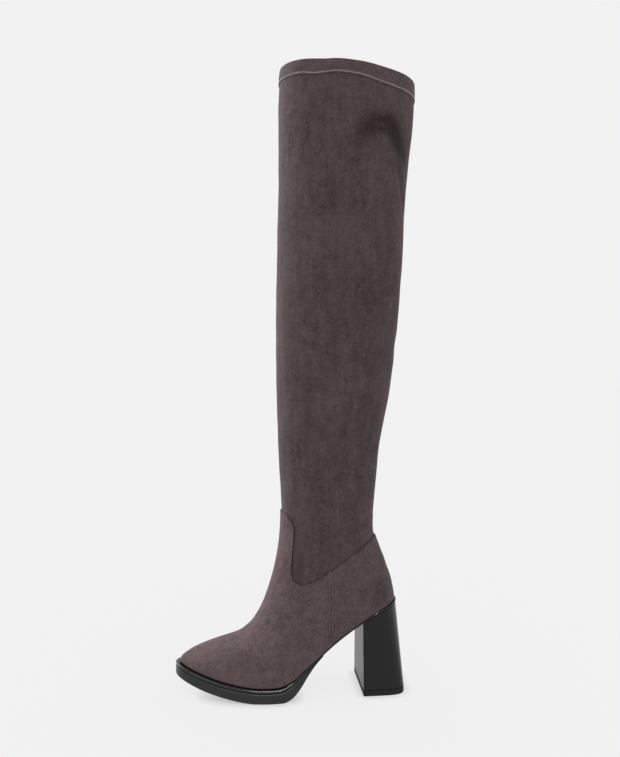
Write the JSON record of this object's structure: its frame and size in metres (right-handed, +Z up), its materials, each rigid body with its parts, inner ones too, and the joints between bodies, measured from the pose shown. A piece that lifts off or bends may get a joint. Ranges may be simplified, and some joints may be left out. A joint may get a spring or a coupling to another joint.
{
  "type": "thigh high boot",
  "caption": "Left thigh high pull-on boot: hollow stretch shaft, lapped vamp and counter, collar hem, sock board, welt, platform and flared block heel.",
  "frame": {"origin": "a point on the heel's resting face, under the back of the seat", "axes": "+Z up the leg, -X towards the toe, -Y towards the outer side of the left leg"},
  "size_m": [0.2463, 0.1022, 0.6352],
  "materials": {
    "shaft_suede": "grey-brown stretch microsuede, matt, short nap",
    "vamp_suede": "grey-brown microsuede over a firm toe, matt, short nap",
    "counter_suede": "grey-brown microsuede over a firm counter, matt, short nap",
    "hem_suede": "turned hem of the shaft cloth with a pale zigzag stitch",
    "sock_lining": "plain matt lining cloth",
    "welt_satin": "black, satin, rounded edge",
    "outsole_satin": "black, satin, fine grain",
    "heel_gloss": "black, polished lacquer",
    "top_piece_rubber": "black, matt"
  },
  "bodies": {
    "root": {"upper": "shaft_suede", "vamp": "vamp_suede", "counter": "counter_suede", "collar_band": "hem_suede", "insole": "sock_lining", "welt": "welt_satin", "outsole": "outsole_satin", "heel": "heel_gloss", "top_piece": "top_piece_rubber"}
  },
  "joints": []
}
